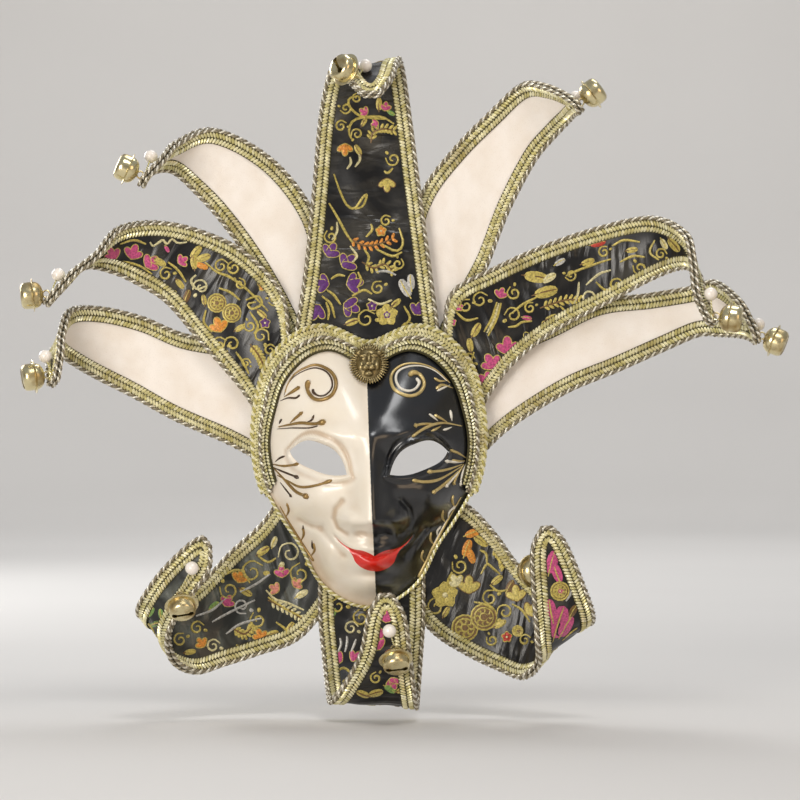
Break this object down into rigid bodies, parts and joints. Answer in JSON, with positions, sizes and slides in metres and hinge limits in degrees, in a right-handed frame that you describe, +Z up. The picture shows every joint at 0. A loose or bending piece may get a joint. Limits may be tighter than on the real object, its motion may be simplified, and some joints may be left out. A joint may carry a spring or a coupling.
{
  "type": "venetian mask",
  "caption": "Full-face Venetian jester mask: papier-mache face, half ivory and half black, with braid-edged cloth points round crown and collar, each ending in a bell and a pearl.",
  "frame": {"origin": "middle of the open back in the plane of the rim, level with the eyes, where the wearer's face comes in", "axes": "+Z up along the face, +Y out of the open back, so the face looks along -Y, +X to the viewer's right"},
  "size_m": [0.5665, 0.1047, 0.4852],
  "materials": {
    "papier": "papier-mache, lacquered; half ivory, half gloss black, red lips",
    "brocade": "black satin brocade with gold and coloured woven motifs",
    "cream_cloth": "matt cream cloth over stiff backing",
    "braid": "champagne gold metallic braid",
    "brass": "pale polished brass",
    "bronze": "cast brass with dark patina in the hollows",
    "pearl": "pearl white bead"
  },
  "bodies": {
    "root": {"face_shell": "papier", "brow_braid_outer": "braid", "brow_braid_inner": "braid", "jaw_cord": "braid", "lion_medallion": "bronze", "top_point": "brocade", "top_braid": "braid", "top_bell": "brass", "top_pearl": "pearl", "upper_left_point": "cream_cloth", "upper_left_braid": "braid", "upper_left_bell": "brass", "upper_left_pearl": "pearl", "mid_left_point": "brocade", "mid_left_braid": "braid", "mid_left_bell": "brass", "mid_left_pearl": "pearl", "low_left_point": "cream_cloth", "low_left_braid": "braid", "low_left_bell": "brass", "low_left_pearl": "pearl", "upper_right_point": "cream_cloth", "upper_right_braid": "braid", "upper_right_bell": "brass", "upper_right_pearl": "pearl", "mid_right_point": "brocade", "mid_right_braid": "braid", "mid_right_bell": "brass", "mid_right_pearl": "pearl", "low_right_point": "cream_cloth", "low_right_braid": "braid", "low_right_bell": "brass", "low_right_pearl": "pearl", "collar_left_point": "brocade", "collar_left_braid": "braid", "collar_left_bell": "brass", "collar_left_pearl": "pearl", "collar_centre_point": "brocade", "collar_centre_braid": "braid", "collar_centre_bell": "brass", "collar_centre_pearl": "pearl", "collar_right_point": "brocade", "collar_right_braid": "braid", "collar_right_bell": "brass", "collar_right_pearl": "pearl"}
  },
  "joints": []
}
